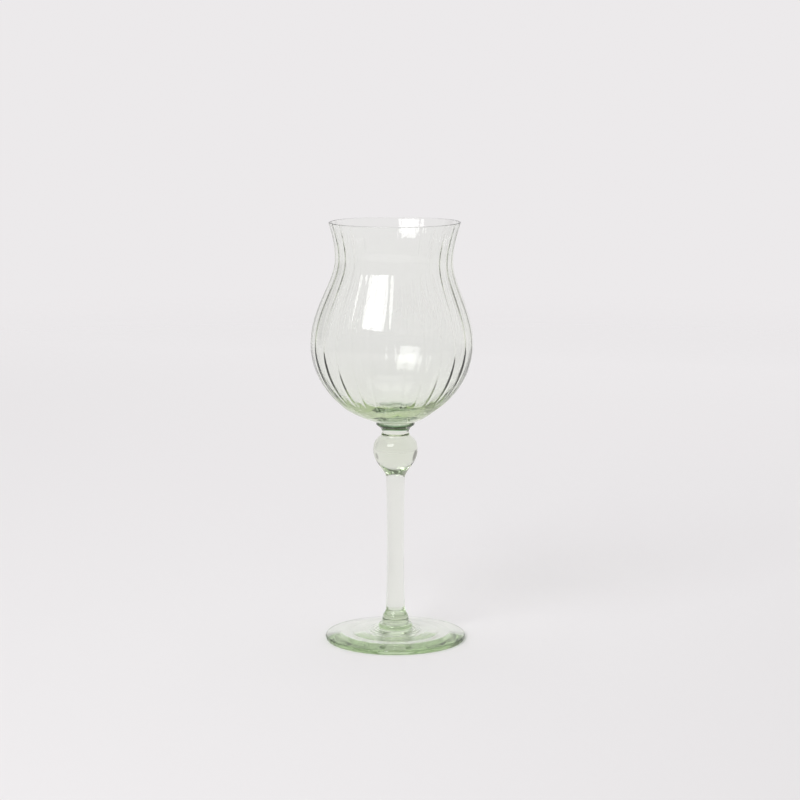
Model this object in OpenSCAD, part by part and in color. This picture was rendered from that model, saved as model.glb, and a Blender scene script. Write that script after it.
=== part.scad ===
// Tall hand-blown wine glass with a ribbed tulip bowl, a ball knop and a spread foot.
// Seven gathers of glass, each fused hot to the next one along the vertical axis.
// Millimetres, +Z up. The origin is the centre of the foot, on the table.

/* [Bowl] */
// Height of the rim above the table
height = 220; // [200:1:240]
// Outside diameter at the rim
rim_d = 68.4; // [60:0.2:76]
// Outside diameter at the waist below the rim
waist_d = 61.2; // [54:0.2:68]
// Height of the waist above the table
waist_z = 200.5; // [196:0.5:206]
// Outside diameter at the belly
belly_d = 84.6; // [78:0.2:92]
// Height of the belly above the table
belly_z = 157; // [150:0.5:162]
// Wall thickness at the rim
lip_wall = 1.3; // [1:0.1:2.4]
// Wall thickness at the belly
belly_wall = 2; // [1.4:0.1:3]
// Height of the belly above the bowl's seat
belly_h = 41.7; // [38:0.1:46]
// Thickness of the solid bottom on the axis
bottom_t = 6.8; // [4:0.2:9]
// Number of optic ribs around the bowl
rib_count = 26; // [16:1:36]
// Height of a rib's crest above the mean surface
rib_relief = 0.2; // [0.1:0.05:0.6]

/* [Upper merese] */
// Diameter of the collar under the bowl
merese_d = 20; // [16:0.2:24]
// Height of the collar
merese_h = 3.3; // [2:0.1:5]
// Diameter of the fused seam between the collar and the bowl, inside the crease
crease_d = 18; // [15:0.2:20]

/* [Neck and knop] */
// Diameter of the short neck
neck_d = 14.6; // [12:0.2:17]
// Height of the short neck
neck_h = 3.6; // [2:0.1:6]
// Diameter of the ball knop
knop_d = 23.2; // [19:0.2:28]
// Height of the ball knop
knop_h = 21.4; // [18:0.2:24]

/* [Stem] */
// Diameter of the stem at its middle
stem_d = 8.9; // [7:0.1:11]
// Diameter of the stem's spread ends
stem_end_d = 9.9; // [8:0.1:12]
// Diameter of the flare that seats on the lower merese
flare_d = 12.8; // [10:0.2:15]
// Height of the flare
flare_h = 3; // [1:0.2:6]

/* [Lower merese] */
// Diameter of the collar under the stem
button_d = 14.2; // [12:0.2:18]
// Height of the collar under the stem
button_h = 4.6; // [3:0.2:8]

/* [Foot] */
// Diameter of the foot
foot_d = 73.6; // [66:0.2:80]
// Thickness of the foot at its edge
edge_t = 2.3; // [1.2:0.1:3]
// Slope of the foot's outer band, in degrees
outer_slope = 9.5; // [4:0.5:14]
// Slope of the band around the ripples, in degrees
inner_slope = 6.6; // [2:0.2:10]
// Height of the boss that carries the stem
boss_h = 8; // [6.6:0.1:9]
// Width of the flat ring that the foot rests on
rest_w = 11; // [4:0.5:14]
// Depth of the hollow under the foot
hollow = 0.4; // [0.2:0.1:1]
// Height of the tooling ripples around the boss
ripple_h = 0.12; // [0:0.01:0.2]

/* [Hidden] */
$fn = 96;
glass = [0.80, 0.88, 0.78, 0.55];
thick_glass = [0.62, 0.76, 0.62, 0.75];

// Heights of the fused seams, from the table up
stem_z = boss_h + button_h;
bowl_z = belly_z - belly_h;
merese_z = bowl_z - merese_h;
neck_z = merese_z - neck_h;
knop_z = neck_z - knop_h;

// A gather's tip is a shallow dome, and the next gather is dished to fit it
seat_rise = 0.7;
waist_wall = (lip_wall + belly_wall) / 2;
around = 2 * rib_count;

// ---- curves ----

function bezier(p, t) =
    let (s = 1 - t)
    s * s * s * p[0] + 3 * s * s * t * p[1] + 3 * s * t * t * p[2] + t * t * t * p[3];

// Points of a Bezier curve, without its last point when another curve carries on from it
function curve(p, steps, last = 1) = [for (i = [0 : steps - 1 + last]) bezier(p, i / steps)];

function reversed(list) = [for (i = [len(list) - 1 : -1 : 0]) list[i]];

function smooth(t) = let (c = min(1, max(0, t))) c * c * (3 - 2 * c);

// Dome of a fused seam, from its edge at radius r to the axis
function dome(r, z, steps = 6) =
    let (ball_r = (r * r + seat_rise * seat_rise) / (2 * seat_rise), edge = asin(r / ball_r))
    [for (i = [0 : steps])
        let (a = edge * (1 - i / steps))
        [ball_r * sin(a), z + seat_rise + ball_r * (cos(a) - 1)]];

// Solid of revolution between two seams: side runs upward, and each end is a dome or flat
module gather(side, flat_base = false, flat_top = false) {
    low = side[0];
    high = side[len(side) - 1];
    base_end = flat_base ? [[0, low[1]]] : reversed(dome(low[0], low[1]));
    top_end = flat_top ? [[0, high[1]]] : dome(high[0], high[1]);
    rotate_extrude()
        polygon(concat(base_end, flat_base ? side : [for (i = [1 : len(side) - 1]) side[i]],
                       flat_top ? top_end : [for (i = [1 : len(top_end) - 1]) top_end[i]]));
}

// ---- bowl ----

// Profile of the wall as four stations joined by curves: seat or floor, belly, waist, rim
function wall_above_belly(belly_r, waist_r, rim_r) = concat(
    curve([[belly_r, belly_z], [belly_r, belly_z + 18], [waist_r, waist_z - 12], [waist_r, waist_z]], 9, 0),
    curve([[waist_r, waist_z], [waist_r, waist_z + 6.5],
           [rim_r - 1.9, height - 6.5], [rim_r, height - lip_wall / 2]], 5));

function outer_wall() =
    let (r = belly_d / 2)
    concat(
        curve([[crease_d / 2, bowl_z], [r - 15.3, bowl_z + 5.7], [r, belly_z - 20.5], [r, belly_z]], 12, 0),
        wall_above_belly(r, waist_d / 2, rim_d / 2));

function inner_wall() =
    let (r = belly_d / 2 - belly_wall, floor_z = bowl_z + bottom_t)
    concat(
        curve([[2, floor_z], [9, floor_z], [15, floor_z + 1.2], [21, floor_z + 4.4]], 5, 0),
        curve([[21, floor_z + 4.4], [32, floor_z + 10.2], [r, belly_z - 11.5], [r, belly_z]], 9, 0),
        wall_above_belly(r, waist_d / 2 - waist_wall, rim_d / 2 - lip_wall));

// Round lip between the two walls
function lip() = [for (a = [30 : 60 : 150])
    [rim_d / 2 - lip_wall / 2 * (1 - cos(a)), height - lip_wall / 2 * (1 - sin(a))]];

// Ribs fade out in the solid bottom, and are softer at the fire-polished rim
function relief(z) =
    rib_relief * smooth((z - bowl_z - 4) / 22) * (1 - 0.5 * smooth((z - waist_z) / (height - waist_z)));

// One ring of the ribbed wall, with a crest and a valley for each rib
function ring(p, depth) = [for (i = [0 : around - 1])
    let (a = 360 * i / around, r = p[0] + depth * relief(p[1]) * cos(rib_count * a))
    [r * cos(a), r * sin(a), p[1]]];

module bowl() {
    outside = [for (p = outer_wall()) ring(p, 1)];
    edge = [for (p = lip()) ring(p, 0.5)];
    // The glass is thicker behind a crest, so the inside ribs are opposite
    inside = [for (p = reversed(inner_wall())) ring(p, -1)];
    rings = concat(outside, edge, inside);
    count = len(rings);
    points = concat([for (r = rings) each r], [[0, 0, bowl_z], [0, 0, bowl_z + bottom_t]]);
    base_pole = count * around;
    floor_pole = base_pole + 1;
    side = [for (k = [0 : count - 2], i = [0 : around - 1])
        let (j = (i + 1) % around, low = k * around, up = low + around)
        each [[low + i, up + i, up + j], [low + i, up + j, low + j]]];
    caps = [for (i = [0 : around - 1])
        let (j = (i + 1) % around, last = (count - 1) * around)
        each [[base_pole, i, j], [floor_pole, last + j, last + i]]];
    color(glass) polyhedron(points, concat(side, caps), convexity = 6);
}

// ---- pieces between the bowl and the foot ----

// A flared collar with a round lip: a thin crease stays open between the lip and the bowl
module upper_merese() {
    r = merese_d / 2;
    low_r = neck_d / 2 + 0.1;
    side = concat(
        curve([[low_r, merese_z], [low_r + 0.5, merese_z + 1.2],
               [r - 0.4, merese_z + 1.6], [r, bowl_z - 0.8]], 7, 0),
        curve([[r, bowl_z - 0.8], [r + 0.2, bowl_z - 0.2], [r - 0.2, bowl_z], [crease_d / 2, bowl_z]], 6));
    color(thick_glass) gather(side, flat_top = true);
}

module neck() {
    r = neck_d / 2;
    side = curve([[r + 0.3, neck_z], [r - 0.3, neck_z + 1.2], [r - 0.3, neck_z + 2.4], [r + 0.1, merese_z]], 8);
    color(glass) gather(side);
}

// A ball that tapers to a small shoulder over the stem
module ball_knop() {
    r = knop_d / 2;
    stem_r = stem_end_d / 2;
    shoulder_r = stem_r + 1.15;
    middle_z = knop_z + 0.64 * knop_h;
    side = concat(
        curve([[stem_r, knop_z], [stem_r + 0.9, knop_z + 0.1],
               [stem_r + 0.75, knop_z + 1.2], [shoulder_r, knop_z + 2]], 5, 0),
        curve([[shoulder_r, knop_z + 2], [shoulder_r + 1.5, knop_z + 4.8],
               [r, middle_z - 5.2], [r, middle_z]], 11, 0),
        curve([[r, middle_z], [r, middle_z + 4.2],
               [r - 1.3, neck_z - 1.7], [neck_d / 2 + 0.3, neck_z]], 10));
    color(glass) gather(side);
}

module stem() {
    end_r = stem_end_d / 2;
    waist_r = end_r - (stem_end_d - stem_d) / 2 * 4 / 3;
    flare_r = flare_d / 2;
    flare_z = stem_z + flare_h;
    side = concat(
        curve([[flare_r, stem_z], [flare_r - 0.9, stem_z + 0.4 * flare_h],
               [end_r + 0.2, stem_z + 0.8 * flare_h], [end_r, flare_z]], 6, 0),
        curve([[end_r, flare_z], [waist_r, flare_z + 13], [waist_r, knop_z - 13], [end_r, knop_z]], 14));
    color(glass) gather(side);
}

// A flat bead of glass, widest near the foot
module lower_merese() {
    r = button_d / 2;
    flare_r = flare_d / 2;
    belt_z = boss_h + 2;
    side = concat(
        curve([[r - 0.5, boss_h], [r + 0.1, boss_h + 0.3], [r + 0.1, boss_h + 1.2], [r - 0.1, belt_z]], 6, 0),
        curve([[r - 0.1, belt_z], [r - 0.2, belt_z + 1],
               [flare_r + 0.3, stem_z - 0.6], [flare_r, stem_z]], 6));
    color(thick_glass) gather(side);
}

// ---- foot ----

// Radius of the crease where the boss meets the foot
boss_r = button_d / 2 + 1.1;
edge_round = 0.75;
flat_r = foot_d / 2 - edge_round;
ripple_pitch = 2.2;
ripple_end_r = 17;

// Bands of the foot's top from the edge inwards: inner radius and slope of each
bands = [[28.3, outer_slope], [23.2, 0.6], [ripple_end_r, inner_slope], [boss_r, 2.4]];

// How much of a band's rise is reached at radius r
function band_rise(r, k) =
    let (outer = k == 0 ? flat_r : bands[k - 1][0])
    max(0, outer - max(r, bands[k][0])) * tan(bands[k][1]);

function ripple(r) = ripple_h * (1 - smooth((r - boss_r) / (ripple_end_r - boss_r)))
    * sin(360 * (r - boss_r) / ripple_pitch);

function foot_top(r) =
    edge_t + band_rise(r, 0) + band_rise(r, 1) + band_rise(r, 2) + band_rise(r, 3) + ripple(r);

// An upright edge with softly rounded corners
function foot_edge() = [for (a = [-90 : 22.5 : 90])
    [flat_r + edge_round * pow(abs(cos(a)), 0.6),
     edge_t / 2 * (1 + sign(a) * pow(abs(sin(a)), 0.75))]];

module foot() {
    slopes = [for (r = [33.5, 31, 28.3, 25.7, 23.2, 20, ripple_end_r]) [r, foot_top(r)]];
    ripples = [for (r = [ripple_end_r - ripple_pitch / 6 : -ripple_pitch / 6 : boss_r + 0.1]) [r, foot_top(r)]];
    rise = foot_top(boss_r);
    // The boss bulges out over its crease
    boss = curve([[boss_r, rise], [boss_r + 1.2, rise + 0.6],
                  [boss_r + 1, boss_h - 0.3], [boss_r + 0.2, boss_h - 0.05]], 7);
    hollow_r = flat_r - rest_w;
    underside = curve([[0, hollow], [hollow_r * 0.5, hollow], [hollow_r * 0.8, 0], [hollow_r, 0]], 8);
    color(thick_glass)
        rotate_extrude()
            polygon(concat(underside, foot_edge(), slopes, ripples, boss,
                           dome(button_d / 2 - 0.5, boss_h)));
}

bowl();
upper_merese();
neck();
ball_knop();
stem();
lower_merese();
foot();
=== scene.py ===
import math

import bpy
import numpy as np
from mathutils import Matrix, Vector


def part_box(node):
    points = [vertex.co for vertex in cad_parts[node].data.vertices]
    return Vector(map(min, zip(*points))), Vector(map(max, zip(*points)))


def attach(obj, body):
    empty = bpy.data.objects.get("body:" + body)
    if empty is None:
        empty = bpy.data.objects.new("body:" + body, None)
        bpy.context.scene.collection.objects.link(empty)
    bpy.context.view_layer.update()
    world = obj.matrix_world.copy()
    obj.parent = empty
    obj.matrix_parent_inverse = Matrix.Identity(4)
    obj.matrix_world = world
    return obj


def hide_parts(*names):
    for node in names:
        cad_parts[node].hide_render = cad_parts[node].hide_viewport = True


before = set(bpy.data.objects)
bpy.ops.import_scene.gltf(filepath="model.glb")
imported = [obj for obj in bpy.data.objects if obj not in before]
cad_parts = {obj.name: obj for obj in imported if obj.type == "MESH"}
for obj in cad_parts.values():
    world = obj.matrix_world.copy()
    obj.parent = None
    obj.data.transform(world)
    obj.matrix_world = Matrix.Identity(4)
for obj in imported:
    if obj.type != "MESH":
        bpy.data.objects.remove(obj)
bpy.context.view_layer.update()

MM = 0.001
TURN = 2 * math.pi


def bottom(node):
    """Height of the lowest point of a CAD node, in millimetres."""
    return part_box(node)[0][2] / MM


def top(node):
    """Height of the highest point of a CAD node, in millimetres."""
    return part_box(node)[1][2] / MM


def reach(node):
    """Largest radius of a CAD node, in millimetres."""
    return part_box(node)[1][0] / MM


# ---- sizes, in millimetres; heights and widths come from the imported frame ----
SEAT_RISE = 0.7  # height of the dome at a fused seam
SEAM_GAP = 0.01  # each piece stops this much short of its seams

RIM_Z = top("bowl")
BOWL_Z = bottom("bowl")
CAD_RELIEF = 0.2
BELLY_R = reach("bowl") - CAD_RELIEF
BELLY_Z = BOWL_Z + 41.7
WAIST_R = 30.6
WAIST_Z = RIM_Z - 19.5
RIM_R = 34.2
LIP_WALL = 1.3
BELLY_WALL = 2.0
WAIST_WALL = (LIP_WALL + BELLY_WALL) / 2
BOTTOM_T = 6.8
FLOOR_RING_H = 0.3
FLOOR_RING_R = 12.0
FLOOR_RING_W = 1.6
POLE_R = 1.2  # the bowl's floor is flat inside this radius

RIB_COUNT = 26
RIB_STEPS = 14
RIB_PHASE = math.radians(-106.3)
RIB_RELIEF = 0.085
INNER_RELIEF = 0.22
INNER_RIB_WIDTH = 0.13  # of the distance between two ribs
RIB_START_Z = BOWL_Z + 2.0
RIB_RISE = 26.0  # height over which the ribs grow to full strength
RIB_SOFT_Z = BELLY_Z + 7.0
RIB_SOFT_HEIGHT = 14.0
RIB_SOFT_BELLY = 0.4  # share of their height that the ribs lose over the belly
RIB_SOFT_RIM = 0.5  # and at the rim
RIB_CROWDING = 0.7  # how far the mesh's points crowd towards each crest

MERESE_Z = top("neck") - SEAT_RISE
MERESE_R = 10.0
CREASE_R = 9.0
NECK_Z = top("ball_knop") - SEAT_RISE
NECK_R = 7.3
KNOP_Z = top("stem") - SEAT_RISE
KNOP_R = reach("ball_knop")
KNOP_WIDEST = 0.64  # of the knop's height
STEM_Z = top("lower_merese") - SEAT_RISE
STEM_R = 4.45
STEM_END_R = 4.95
FLARE_R = reach("stem")
FLARE_Z = STEM_Z + 3.0
BUTTON_Z = top("foot") - SEAT_RISE
BUTTON_R = 7.1

FOOT_R = reach("foot")
EDGE_T = 2.3
EDGE_ROUND = 0.75
EDGE_WAVER = 0.05
WAVER_START_R = 34.5
# slope of the foot's top, in degrees, between radii counted inwards from the edge
FOOT_SLOPES = ((36.0, 9.5), (28.3, 0.6), (23.2, 6.6), (17.0, 2.4))
BOSS_R = BUTTON_R + 1.1
RIPPLE_H = 0.12
RIPPLE_PITCH = 2.2
RIPPLE_END_R = 17.0
GROOVE_DEPTH = 0.3
GROOVE_R = BOSS_R + 0.3
GROOVE_W = 0.5
REST_W = 11.0
HOLLOW = 0.4
HOLLOW_POLE_R = 1.5

# the bowl stands to one side of the stem, and towards its rim it comes most of the way back
LEAN = -1.8
LEAN_HEIGHT = 7.0
LEAN_BACK = 0.85
LEAN_BACK_Z = 168.0
LEAN_BACK_HEIGHT = 50.0

# how the bowl's floor and then each seam wander around the glass: height, size, reach up and
# down, number of lobes
SEAM_WAVES = (
    (BOWL_Z + BOTTOM_T + 1.5, 0.16, 1.8, 11),
    (BOWL_Z, 0.12, 1.0, 3),
    (MERESE_Z, 0.18, 1.0, 2),
    (NECK_Z, 0.4, 1.6, 2),
    (KNOP_Z, 0.45, 2.4, 2),
    (STEM_Z, 0.2, 1.6, 3),
    (BUTTON_Z, 0.15, 1.0, 2),
)


# ---- curves; an outline is a list of (radius, height) points ----
def bezier(p, steps, last=False):
    """Points on a cubic Bezier curve, without its last point unless asked."""
    p = np.array(p, float)
    t = np.linspace(0, 1, steps + 1)[:, None]
    if not last:
        t = t[:-1]
    s = 1 - t
    return s**3 * p[0] + 3 * s * s * t * p[1] + 3 * s * t * t * p[2] + t**3 * p[3]


def smooth(t):
    """A soft step from 0 to 1."""
    t = np.clip(t, 0, 1)
    return t * t * (3 - 2 * t)


def hump(x, middle, width):
    """A soft bump of height 1."""
    return np.exp(-(((x - middle) / width) ** 2))


def dome(r, z, steps=7):
    """A fused seam's shallow dome, from its edge at radius r towards the axis."""
    share = np.linspace(1, 0, steps + 1)[:-1]
    return np.stack([r * share, z + SEAT_RISE * (1 - share**2)], 1)


def flat(r, z, steps=7):
    """A flat seam, from its edge at radius r towards the axis."""
    share = np.linspace(1, 0, steps + 1)[:-1]
    return np.stack([r * share, np.full(steps, float(z))], 1)


# ---- the hand-made shape: small wanderings that neighbouring pieces share ----
def seam_wave(z, a):
    """How far a fused seam wanders up and down around the glass."""
    rise = np.zeros_like(a)
    for seam, size, width, lobes in SEAM_WAVES:
        slow = np.sin(lobes * a + seam)
        quick = np.sin((2 * lobes + 1) * a + 2 * seam)
        rise = rise + hump(z, seam, width) * size * (0.7 * slow + 0.3 * quick)
    return rise


def lean(z):
    """How far the glass stands to one side of its axis at a height."""
    out = smooth((z - BOWL_Z) / LEAN_HEIGHT)
    back = smooth((z - LEAN_BACK_Z) / LEAN_BACK_HEIGHT)
    return LEAN * out * (1 - LEAN_BACK * back)


def place(r, z, a, full_r):
    """The point at radius r, height z and angle a, in metres. Near the axis, inside full_r,
    the seams wander less."""
    share = np.clip(r / full_r, 0, 1)
    x = r * np.cos(a) + lean(z)
    y = r * np.sin(a)
    return np.stack([x, y, z + seam_wave(z, a) * share], -1) * MM


# ---- meshes ----
def turn(around):
    """Even angles around the axis."""
    return np.arange(around) * TURN / around


def add_object(name, data):
    obj = bpy.data.objects.new(name, data)
    bpy.context.scene.collection.objects.link(obj)
    return obj


def pole_z(seam):
    """Height at which a seam meets the axis, half a step beyond its last point."""
    return seam[-1][1] + (seam[-1][1] - seam[-2][1]) * 0.5


def mark_sharp(mesh, rings, around):
    """Sharp edges along some rings of a turned mesh."""
    index = np.arange(around)
    ahead = (index + 1) % around
    sharp = set()
    for ring in rings:
        start = ring * around
        sharp.update(frozenset((int(start + i), int(start + j))) for i, j in zip(index, ahead))
    ends = np.zeros(len(mesh.edges) * 2, int)
    mesh.edges.foreach_get("vertices", ends)
    layer = mesh.attributes.get("sharp_edge")
    if layer is None:
        layer = mesh.attributes.new("sharp_edge", "BOOLEAN", "EDGE")
    edges = ends.reshape(-1, 2).tolist()
    layer.data.foreach_set("value", [frozenset(edge) in sharp for edge in edges])


def lathe(name, low, side, high, a, full_r, radial=None, fused=(True, True)):
    """A closed turned solid. low runs from its edge to the axis, side from low to high, and
    high from its edge to the axis. a holds the angles of its points around the axis, and
    radial(r, z, a, k) may change the radius of ring k. fused says whether low and high are
    fused seams; their faces are marked for the glass material. low and high stand in for the
    two end points of side."""
    profile = np.concatenate([low[::-1], side[1:-1], high])
    around = len(a)
    rings = []
    for k, (r, z) in enumerate(profile):
        ring_r = np.full(around, r)
        if radial is not None:
            ring_r = radial(ring_r, z, a, k)
        rings.append(place(ring_r, np.full(around, z), a, full_r))
    poles = [[lean(z) * MM, 0, z * MM] for z in (pole_z(low), pole_z(high))]

    count = len(profile)
    low_edge = len(low) - 1
    high_edge = count - len(high)
    index = np.arange(around)
    ahead = (index + 1) % around
    faces = []
    seam = []
    for k in range(count - 1):
        start = k * around
        end = start + around
        ring = np.stack([start + index, start + ahead, end + ahead, end + index], 1)
        faces.extend(ring.tolist())
        on_seam = (k < low_edge and fused[0]) or (k >= high_edge and fused[1])
        seam.extend([float(on_seam)] * around)
    low_pole = count * around
    faces.extend([low_pole, int(j), int(i)] for i, j in zip(index, ahead))
    seam.extend([float(fused[0])] * around)
    last = low_pole - around
    faces.extend([last + int(i), last + int(j), low_pole + 1] for i, j in zip(index, ahead))
    seam.extend([float(fused[1])] * around)

    mesh = bpy.data.meshes.new(name)
    mesh.from_pydata(np.concatenate([*rings, poles]).tolist(), [], faces)
    mesh.update()
    mesh.shade_smooth()
    layer = mesh.attributes.new("seam", "FLOAT", "FACE")
    layer.data.foreach_set("value", np.array(seam, np.float32))
    sharp_rings = [ring for ring, is_seam in zip((low_edge, high_edge), fused) if is_seam]
    mark_sharp(mesh, sharp_rings, around)
    return add_object(name, mesh)


def gather(name, side, full_r, around=128, high_seam=dome):
    """A turned piece between two fused seams. The lower one is a dome."""
    low = dome(side[0][0], side[0][1] + SEAM_GAP)
    high = high_seam(side[-1][0], side[-1][1] - SEAM_GAP)
    return lathe(name, low, side, high, turn(around), full_r)


# ---- bowl ----
def relief(z):
    """Strength of the optic ribs: none in the solid bottom, less at the belly and the rim."""
    start = smooth((z - RIB_START_Z) / RIB_RISE)
    belly = 1 - RIB_SOFT_BELLY * hump(z, RIB_SOFT_Z, RIB_SOFT_HEIGHT)
    rim = 1 - RIB_SOFT_RIM * smooth((z - WAIST_Z) / (RIM_Z - WAIST_Z))
    return belly * start * rim


def upper_wall(belly_r, waist_r, rim_r):
    """Outline from the belly over the waist to the foot of the lip."""
    return np.concatenate([
        bezier([[belly_r, BELLY_Z], [belly_r, BELLY_Z + 18],
                [waist_r, WAIST_Z - 12], [waist_r, WAIST_Z]], 30),
        bezier([[waist_r, WAIST_Z], [waist_r, WAIST_Z + 6.5],
                [rim_r - 1.9, RIM_Z - 6.5], [rim_r, RIM_Z - LIP_WALL / 2]], 16, True),
    ])


def lip_outline():
    """The lip is nearly flat on top, with small round corners."""
    angle = np.radians(np.linspace(8, 172, 18))
    across = np.sign(np.cos(angle)) * np.abs(np.cos(angle)) ** 0.5
    up = np.sin(angle) ** 0.5
    return np.stack([RIM_R - LIP_WALL / 2 * (1 - across), RIM_Z - LIP_WALL / 2 * (1 - up)], 1)


def inner_outline(floor_z):
    """The inside, from the rim down to the floor, which has a low ring around its middle."""
    r = BELLY_R - BELLY_WALL
    corner_r = 21
    corner_z = floor_z + 4.4
    inner = np.concatenate([
        bezier([[POLE_R, floor_z], [9, floor_z],
                [15, floor_z + 1.2], [corner_r, corner_z]], 36),
        bezier([[corner_r, corner_z], [32, floor_z + 10.2],
                [r, BELLY_Z - 11.5], [r, BELLY_Z]], 34),
        upper_wall(r, WAIST_R - WAIST_WALL, RIM_R - LIP_WALL),
    ])[::-1]
    on_floor = inner[:, 1] < floor_z + 3
    inner[:, 1] += FLOOR_RING_H * hump(inner[:, 0], FLOOR_RING_R, FLOOR_RING_W) * on_floor
    return inner


def build_bowl():
    r = BELLY_R
    outer = np.concatenate([
        bezier([[CREASE_R, BOWL_Z], [r - 15.3, BOWL_Z + 5.7],
                [r, BELLY_Z - 20.5], [r, BELLY_Z]], 40),
        upper_wall(r, WAIST_R, RIM_R),
    ])
    lip = lip_outline()
    floor_z = BOWL_Z + BOTTOM_T
    low = flat(CREASE_R, BOWL_Z + SEAM_GAP)
    high = np.array([[POLE_R, floor_z], [0.5, floor_z]])
    side = np.concatenate([outer, lip, inner_outline(floor_z)])
    outer_rings = len(low) + len(outer) + len(lip) // 2 + 1

    # the points around the axis crowd towards each rib's crest
    step = np.arange(RIB_STEPS) / RIB_STEPS - 0.5
    share = step - RIB_CROWDING * np.sin(TURN * step) / TURN
    rib = np.arange(RIB_COUNT)[:, None]
    a = (RIB_PHASE + TURN / RIB_COUNT * (rib + share[None, :])).ravel()
    outer_crest = np.cos(RIB_COUNT * (a - RIB_PHASE))
    inner_crest = np.tile(hump(share, 0, INNER_RIB_WIDTH), RIB_COUNT)

    def radial(r, z, a, k):
        """Ribs swell the wall outwards outside and inwards inside, and fade near the axis."""
        swell = RIB_RELIEF * outer_crest if k < outer_rings else -INNER_RELIEF * inner_crest
        return r + swell * relief(z) * smooth(r / 16)

    return lathe("bowl_glass", low, side, high, a,
                 full_r=10.0, radial=radial, fused=(True, False))


# ---- stem parts, from the bowl down ----
def build_merese():
    shoulder_z = BOWL_Z - 0.8
    side = np.concatenate([
        bezier([[NECK_R + 0.1, MERESE_Z], [NECK_R + 0.6, MERESE_Z + 1.2],
                [MERESE_R - 0.4, MERESE_Z + 1.6], [MERESE_R, shoulder_z]], 16),
        bezier([[MERESE_R, shoulder_z], [MERESE_R + 0.2, BOWL_Z - 0.2],
                [MERESE_R - 0.2, BOWL_Z], [CREASE_R, BOWL_Z]], 12, True),
    ])
    return gather("upper_merese_glass", side, full_r=7.0, high_seam=flat)


def build_neck():
    side = bezier([[NECK_R + 0.3, NECK_Z], [NECK_R - 0.3, NECK_Z + 1.2],
                   [NECK_R - 0.3, NECK_Z + 2.4], [NECK_R + 0.1, MERESE_Z]], 20, True)
    return gather("neck_glass", side, full_r=7.0)


def build_knop():
    r = KNOP_R
    middle = KNOP_Z + KNOP_WIDEST * (NECK_Z - KNOP_Z)
    cone_r = STEM_END_R + 0.9
    cone_z = KNOP_Z + 2.0
    side = np.concatenate([
        bezier([[STEM_END_R, KNOP_Z], [STEM_END_R + 0.1, KNOP_Z + 0.6],
                [STEM_END_R + 0.4, KNOP_Z + 1.2], [cone_r, cone_z]], 12),
        bezier([[cone_r, cone_z], [cone_r + 1.6, cone_z + 2.8],
                [r, middle - 5.6], [r, middle]], 34),
        bezier([[r, middle], [r, middle + 4.2],
                [r - 1.3, NECK_Z - 1.7], [NECK_R + 0.3, NECK_Z]], 32, True),
    ])
    return gather("ball_knop_glass", side, full_r=4.9, around=160)


def build_stem():
    # a Bezier curve reaches three quarters of the way to its middle points
    waist_r = STEM_END_R - (STEM_END_R - STEM_R) * 4 / 3
    side = np.concatenate([
        bezier([[FLARE_R, STEM_Z], [FLARE_R - 0.9, STEM_Z + 1.2],
                [STEM_END_R + 0.2, STEM_Z + 2.4], [STEM_END_R, FLARE_Z]], 16),
        bezier([[STEM_END_R, FLARE_Z], [waist_r, FLARE_Z + 13],
                [waist_r, KNOP_Z - 13], [STEM_END_R, KNOP_Z]], 116, True),
    ])
    return gather("stem_glass", side, full_r=4.4, around=96)


def build_button():
    r = BUTTON_R
    middle = BUTTON_Z + 2.0
    side = np.concatenate([
        bezier([[r - 0.5, BUTTON_Z], [r + 0.1, BUTTON_Z + 0.3],
                [r + 0.1, BUTTON_Z + 1.2], [r - 0.1, middle]], 14),
        bezier([[r - 0.1, middle], [r - 0.2, middle + 1.0],
                [FLARE_R + 0.3, STEM_Z - 0.6], [FLARE_R, STEM_Z]], 20, True),
    ])
    return gather("lower_merese_glass", side, full_r=4.9)


# ---- foot ----
def foot_top(r):
    """Height of the foot's top at each radius: the slopes summed from the edge inwards, with
    the tooling ripples and the groove around the boss."""
    grid = np.linspace(FOOT_R, 0, 1500)
    angle = np.zeros_like(grid)
    previous = 0.0
    for start, degrees in FOOT_SLOPES:
        angle += (degrees - previous) * smooth((start + 0.3 - grid) / 0.6)
        previous = degrees
    step = grid[0] - grid[1]
    height = EDGE_T + np.cumsum(np.tan(np.radians(angle))) * step
    fade = 1 - smooth((grid - BOSS_R) / (RIPPLE_END_R - BOSS_R))
    height += RIPPLE_H * fade * np.sin(TURN * (grid - BOSS_R) / RIPPLE_PITCH)
    height -= GROOVE_DEPTH * hump(grid, GROOVE_R, GROOVE_W)
    return np.interp(r, grid[::-1], height[::-1])


def foot_edge(flat_r):
    """The edge is an upright strip with softly rounded corners."""
    angle = np.radians(np.linspace(-90, 82, 26))
    across = np.abs(np.cos(angle)) ** 0.6
    up = 1 + np.sign(np.sin(angle)) * np.abs(np.sin(angle)) ** 0.75
    return np.stack([flat_r + EDGE_ROUND * across, EDGE_T / 2 * up], 1)


def foot_boss():
    """The boss bulges over its crease and ends under the lower bead."""
    rise = float(foot_top(BOSS_R))
    shoulder = [BOSS_R + 0.2, BUTTON_Z - 0.05]
    return np.concatenate([
        bezier([[BOSS_R, rise], [BOSS_R + 1.2, rise + 0.6],
                [BOSS_R + 1.0, BUTTON_Z - 0.3], shoulder], 24),
        bezier([shoulder, [BOSS_R - 0.4, BUTTON_Z],
                [BUTTON_R, BUTTON_Z], [BUTTON_R - 0.5, BUTTON_Z]], 5, True),
    ])


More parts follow.
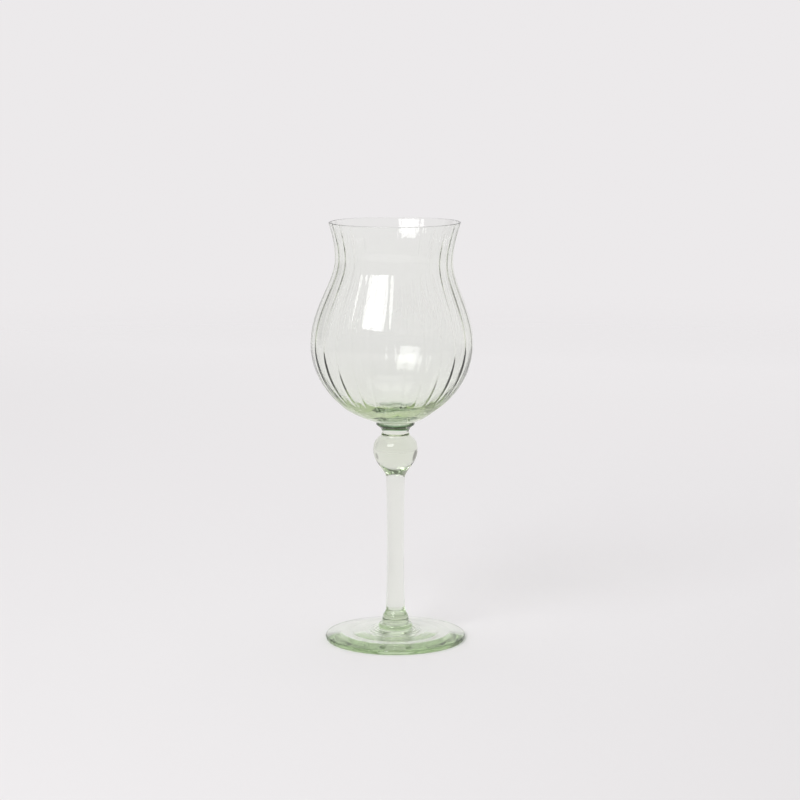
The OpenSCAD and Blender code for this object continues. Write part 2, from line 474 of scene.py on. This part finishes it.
def build_foot():
    flat_r = FOOT_R - EDGE_ROUND
    hollow_r = flat_r - REST_W
    under = bezier([[HOLLOW_POLE_R, HOLLOW], [hollow_r * 0.5, HOLLOW],
                    [hollow_r * 0.8, 0], [hollow_r, 0]], 30, True)
    rest = np.stack([np.linspace(hollow_r + 1, flat_r - 0.5, 8), np.zeros(8)], 1)
    top_r = np.concatenate([
        np.arange(flat_r - 0.25, RIPPLE_END_R, -0.3),
        np.arange(RIPPLE_END_R, BOSS_R + 0.05, -RIPPLE_PITCH / 14),
    ])
    upper = np.stack([top_r, foot_top(top_r)], 1)
    side = np.concatenate([under, rest, foot_edge(flat_r), upper, foot_boss()])
    low = np.array([[HOLLOW_POLE_R, HOLLOW], [0.6, HOLLOW]])
    high = dome(BUTTON_R - 0.5, BUTTON_Z - SEAM_GAP)

    def radial(r, z, a, k):
        """The edge wavers a little where the tools have nipped it."""
        waver = np.sin(11 * a + 1.0) * np.sin(29 * a) + 0.6 * np.sin(43 * a + 2.0)
        return r + EDGE_WAVER * waver * smooth((r - WAVER_START_R) / 1.5)

    return lathe("foot_glass_piece", low, side, high, turn(360),
                 full_r=7.0, radial=radial, fused=(False, True))


# ---- shader nodes ----
def map_range(tree, value, start, end, low=0.0, high=1.0, interpolation="SMOOTHSTEP"):
    """Turns start..end of a value into low..high."""
    node = tree.nodes.new("ShaderNodeMapRange")
    node.interpolation_type = interpolation
    node.inputs["From Min"].default_value = start
    node.inputs["From Max"].default_value = end
    node.inputs["To Min"].default_value = low
    node.inputs["To Max"].default_value = high
    tree.links.new(value, node.inputs["Value"])
    return node.outputs["Result"]


def vector_math(tree, operation, vector, constant=(0.0, 0.0, 0.0)):
    """A vector node that works on a linked vector and a constant one."""
    node = tree.nodes.new("ShaderNodeVectorMath")
    node.operation = operation
    tree.links.new(vector, node.inputs[0])
    node.inputs[1].default_value = constant
    return node


# ---- materials ----
GLASS_INDEX = 1.5
CORD_TINT = (0.985, 0.995, 0.985, 1.0)


def glass(name, colour, density, cord_depth, cord_stretch, cord_scale):
    """Clear glass that colours light by its depth. Its cords, faint streaks in the glass, are
    cord_depth metres high on the surface."""
    material = bpy.data.materials.new(name)
    material.use_nodes = True
    tree = material.node_tree
    nodes = tree.nodes
    links = tree.links
    shader = nodes["Principled BSDF"]
    shader.inputs["Transmission Weight"].default_value = 1.0
    shader.inputs["Roughness"].default_value = 0.0
    shader.inputs["IOR"].default_value = GLASS_INDEX
    # a fused seam doesn't bend light: its faces have an index of 1
    seam = nodes.new("ShaderNodeAttribute")
    seam.attribute_name = "seam"
    index = map_range(tree, seam.outputs["Fac"], 0.0, 1.0, GLASS_INDEX, 1.0, "LINEAR")
    links.new(index, shader.inputs["IOR"])

    where = nodes.new("ShaderNodeTexCoord")
    mapping = nodes.new("ShaderNodeMapping")
    mapping.inputs["Scale"].default_value = cord_stretch
    links.new(where.outputs["Object"], mapping.inputs["Vector"])
    cords = nodes.new("ShaderNodeTexNoise")
    cords.inputs["Scale"].default_value = cord_scale
    cords.inputs["Detail"].default_value = 1.0
    links.new(mapping.outputs["Vector"], cords.inputs["Vector"])
    # sockets 6, 7 and output 2 of a mix node are its colours
    tint = nodes.new("ShaderNodeMix")
    tint.data_type = "RGBA"
    tint.inputs[6].default_value = (1.0, 1.0, 1.0, 1.0)
    tint.inputs[7].default_value = CORD_TINT
    links.new(cords.outputs["Fac"], tint.inputs["Factor"])
    links.new(tint.outputs[2], shader.inputs["Base Color"])
    bump = nodes.new("ShaderNodeBump")
    bump.inputs["Strength"].default_value = 1.0
    bump.inputs["Distance"].default_value = cord_depth
    links.new(cords.outputs["Fac"], bump.inputs["Height"])
    links.new(bump.outputs["Normal"], shader.inputs["Normal"])

    absorb = nodes.new("ShaderNodeVolumeAbsorption")
    absorb.inputs["Color"].default_value = (*colour, 1.0)
    absorb.inputs["Density"].default_value = density
    links.new(absorb.outputs["Volume"], nodes["Material Output"].inputs["Volume"])
    return material


# depth in metres, stretch along each axis, scale
BLOWN_CORDS = (0.0000005, (1.0, 1.0, 0.08), 500.0)
SOLID_CORDS = (0.000003, (1.0, 1.0, 0.3), 300.0)
FOOT_CORDS = (0.000003, (1.0, 1.0, 1.0), 300.0)

# name, colour, density per metre, cords
blown = glass("blown_glass", (0.62, 0.74, 0.42), 25.0, *BLOWN_CORDS)
bead = glass("bead_glass", (0.47, 0.61, 0.3), 65.0, *SOLID_CORDS)
collar = glass("collar_glass", (0.25, 0.45, 0.25), 150.0, *SOLID_CORDS)
solid = glass("solid_glass", (0.62, 0.72, 0.42), 20.0, *SOLID_CORDS)
spread = glass("foot_glass", (0.58, 0.74, 0.43), 27.0, *FOOT_CORDS)

for make, node, slot, material in (
    (build_bowl, "bowl", "blown_glass", blown),
    (build_merese, "upper_merese", "collar_glass", collar),
    (build_neck, "neck", "solid_glass", solid),
    (build_knop, "ball_knop", "solid_glass", solid),
    (build_stem, "stem", "solid_glass", solid),
    (build_button, "lower_merese", "bead_glass", bead),
    (build_foot, "foot", "foot_glass", spread),
):
    piece = make()
    piece.data.materials.append(material)
    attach(piece, "root")
    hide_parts(node)


# ---- studio, in metres ----
def towards(azimuth, elevation):
    """A direction. Azimuth 0 is towards the camera, and positive is to the camera's left."""
    az = math.radians(azimuth)
    el = math.radians(elevation)
    return Vector((-math.cos(el) * math.sin(az), -math.cos(el) * math.cos(az), math.sin(el)))


FLOOR_DROP = 0.00005
FLOOR_AROUND = 96
FLOOR_RADII = (0.3, 0.6, 0.9, 1.2, 1.5, 1.8)
FLOOR_FADE = (0.8, 1.7)
PALE = (0.74, 0.732, 0.736, 1.0)
# the floor's own light grows from near left to far right, to meet the backdrop
LIFT_DIRECTION = (0.27, 1.0, 0.0)
LIFT_RANGE = (-0.4, 1.1)
LIFT = (0.067, 0.44)


def floor_mesh():
    """A round disc, just under the glass."""
    points = [(0, 0, -FLOOR_DROP)]
    for r in FLOOR_RADII:
        for i in range(FLOOR_AROUND):
            a = TURN * i / FLOOR_AROUND
            points.append((r * math.cos(a), r * math.sin(a), -FLOOR_DROP))
    faces = [(0, 1 + i, 1 + (i + 1) % FLOOR_AROUND) for i in range(FLOOR_AROUND)]
    for k in range(len(FLOOR_RADII) - 1):
        near = 1 + k * FLOOR_AROUND
        far = near + FLOOR_AROUND
        for i in range(FLOOR_AROUND):
            j = (i + 1) % FLOOR_AROUND
            faces.append((near + i, far + i, far + j, near + j))
    mesh = bpy.data.meshes.new("floor")
    mesh.from_pydata(points, [], faces)
    return mesh


def floor_material():
    """Matt and pale, with a faint light of its own, and fading out far from the glass."""
    material = bpy.data.materials.new("pale_floor")
    material.use_nodes = True
    tree = material.node_tree
    links = tree.links
    shader = tree.nodes["Principled BSDF"]
    shader.inputs["Roughness"].default_value = 1.0
    shader.inputs["Specular IOR Level"].default_value = 0.0
    shader.inputs["Base Color"].default_value = PALE
    shader.inputs["Emission Color"].default_value = PALE
    where = tree.nodes.new("ShaderNodeTexCoord").outputs["Object"]
    across = vector_math(tree, "DOT_PRODUCT", where, LIFT_DIRECTION).outputs["Value"]
    lift = map_range(tree, across, *LIFT_RANGE, *LIFT, "LINEAR")
    links.new(lift, shader.inputs["Emission Strength"])
    length = vector_math(tree, "LENGTH", where).outputs["Value"]
    clear = tree.nodes.new("ShaderNodeBsdfTransparent")
    mix = tree.nodes.new("ShaderNodeMixShader")
    links.new(map_range(tree, length, *FLOOR_FADE), mix.inputs["Fac"])
    links.new(shader.outputs["BSDF"], mix.inputs[1])
    links.new(clear.outputs["BSDF"], mix.inputs[2])
    links.new(mix.outputs["Shader"], tree.nodes["Material Output"].inputs["Surface"])
    return material


def build_floor():
    mesh = floor_mesh()
    floor = add_object("floor", mesh)
    mesh.materials.append(floor_material())


WORLD_BASE = (0.56, 0.55, 0.555)
# direction, cosines at which the lobe starts and is full, colour that it adds
WORLD_LOBES = (
    (towards(180, 0), -0.2, 0.6, (0.28, 0.27, 0.275)),
    (towards(0, 90), 0.5, 0.8, (-0.25, -0.25, -0.25)),
    (towards(121, 9), 0.951, 0.982, (-0.55, -0.55, -0.55)),
    (towards(-130, 9), 0.984, 0.996, (-0.35, -0.35, -0.35)),
)


def build_world():
    """A pale studio: bright behind the glass, dimmer to the sides, above and behind the
    camera, with a dark area far left and one far right behind the glass."""
    world = bpy.data.worlds.new("studio")
    bpy.context.scene.world = world
    world.use_nodes = True
    tree = world.node_tree
    where = tree.nodes.new("ShaderNodeTexCoord").outputs["Generated"]
    total = None
    for direction, start, end, colour in WORLD_LOBES:
        dot = vector_math(tree, "DOT_PRODUCT", where, direction).outputs["Value"]
        scaled = tree.nodes.new("ShaderNodeVectorMath")
        scaled.operation = "SCALE"
        scaled.inputs[0].default_value = colour
        tree.links.new(map_range(tree, dot, start, end), scaled.inputs["Scale"])
        add = vector_math(tree, "ADD", scaled.outputs["Vector"], WORLD_BASE)
        if total is not None:
            tree.links.new(total, add.inputs[1])
        total = add.outputs["Vector"]
    background = tree.nodes["Background"]
    tree.links.new(total, background.inputs["Color"])
    background.inputs["Strength"].default_value = 1.0


LIGHT_TARGET = Vector((0.0, 0.0, 0.15))


def soft_light(name, azimuth, elevation, distance, width, height, radiance):
    """A rectangular soft box that faces the glass."""
    light = bpy.data.lights.new(name, "AREA")
    light.shape = "RECTANGLE"
    light.size = width
    light.size_y = height
    light.energy = radiance * width * height * math.pi
    lamp = add_object(name, light)
    direction = towards(azimuth, elevation)
    lamp.location = LIGHT_TARGET + distance * direction
    lamp.rotation_euler = direction.to_track_quat("Z", "Y").to_euler()


CAMERA_AT = (0.0024, -1.1957, 0.3137)
CAMERA_DOWN = 8.868  # degrees below level
CAMERA_LENS = 104.45


def build_camera():
    """1.2 m away, a little above the rim, looking slightly down."""
    camera = bpy.data.cameras.new("camera")
    camera.sensor_width = 36.0
    camera.lens = CAMERA_LENS
    camera.clip_start = 0.05
    view = add_object("camera", camera)
    view.location = CAMERA_AT
    view.rotation_euler = (math.radians(90 - CAMERA_DOWN), 0, 0)
    bpy.context.scene.camera = view


build_floor()
build_world()
soft_light("key", azimuth=32, elevation=37, distance=1.5, width=0.79, height=0.86, radiance=6.0)
soft_light("overhead", azimuth=180, elevation=78, distance=1.4, width=1.0, height=1.0, radiance=1.2)
build_camera()

scene = bpy.context.scene
scene.view_settings.view_transform = "Standard"
scene.view_settings.look = "None"
cycles = scene.cycles
cycles.max_bounces = 32
cycles.transmission_bounces = 32
cycles.glossy_bounces = 16
cycles.diffuse_bounces = 3
cycles.transparent_max_bounces = 16
cycles.caustics_reflective = True
cycles.caustics_refractive = True
cycles.blur_glossy = 0.0
